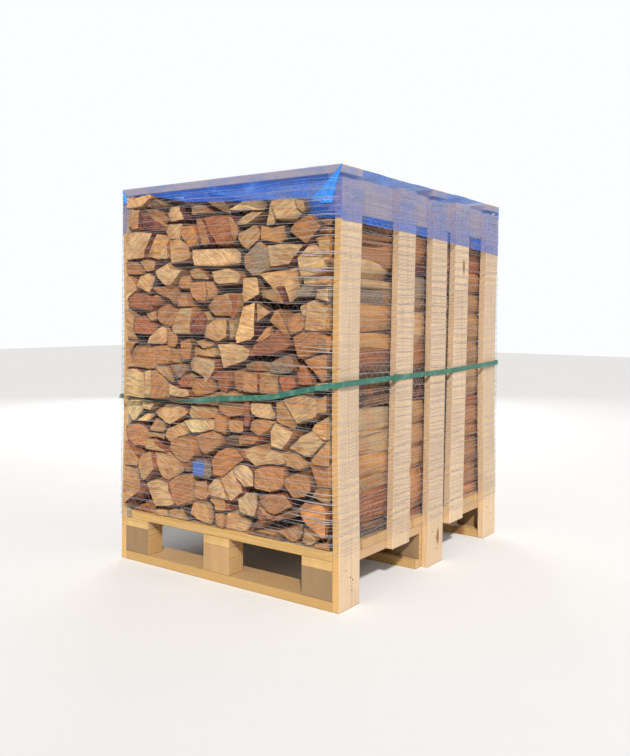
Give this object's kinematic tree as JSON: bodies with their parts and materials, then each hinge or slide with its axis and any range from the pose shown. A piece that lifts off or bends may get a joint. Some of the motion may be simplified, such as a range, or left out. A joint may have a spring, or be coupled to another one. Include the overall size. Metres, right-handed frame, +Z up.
{
  "type": "pallet of firewood",
  "caption": "Split firewood stacked on a wooden pallet between upright boards, covered with blue film, wrapped in a net and held by a strap.",
  "frame": {"origin": "on the ground under the middle of the load", "axes": "-Y towards the side where the log ends face, +Z up, +X to the right seen from the front"},
  "size_m": [0.8485, 1.0488, 1.1688],
  "materials": {
    "pallet_pine": "rough sawn, golden",
    "sawn_spruce": "rough sawn, pale",
    "split_firewood": "split and sawn, tan to orange",
    "blue_film": "thin see-through film, creased",
    "net_yarn": "clear knitted yarn",
    "green_strap": "smooth band",
    "strap_seal_metal": "dull"
  },
  "bodies": {
    "root": {"bottom_board_front": "pallet_pine", "bottom_board_middle": "pallet_pine", "bottom_board_back": "pallet_pine", "block_front_left": "pallet_pine", "block_front_middle": "pallet_pine", "block_front_right": "pallet_pine", "block_middle_left": "pallet_pine", "block_middle_middle": "pallet_pine", "block_middle_right": "pallet_pine", "block_back_left": "pallet_pine", "block_back_middle": "pallet_pine", "block_back_right": "pallet_pine", "stringer_left": "pallet_pine", "stringer_middle": "pallet_pine", "stringer_right": "pallet_pine", "deck_board_1": "pallet_pine", "deck_board_2": "pallet_pine", "deck_board_3": "pallet_pine", "deck_board_4": "pallet_pine", "deck_board_5": "pallet_pine", "deck_board_6": "pallet_pine", "deck_board_7": "pallet_pine", "post_left_1": "sawn_spruce", "post_left_2": "sawn_spruce", "post_left_3": "sawn_spruce", "post_left_4": "sawn_spruce", "post_left_5": "sawn_spruce", "post_right_1": "sawn_spruce", "post_right_2": "sawn_spruce", "post_right_3": "sawn_spruce", "post_right_4": "sawn_spruce", "post_right_5": "sawn_spruce", "rail_left": "sawn_spruce", "rail_right": "sawn_spruce", "cross_plank_front": "sawn_spruce", "cross_plank_middle": "sawn_spruce", "cross_plank_back": "sawn_spruce", "log_row_front": "split_firewood", "log_row_middle": "split_firewood", "log_row_back": "split_firewood", "film_cover": "blue_film", "net_wrap": "net_yarn", "strap": "green_strap", "strap_seal": "strap_seal_metal"}
  },
  "joints": []
}
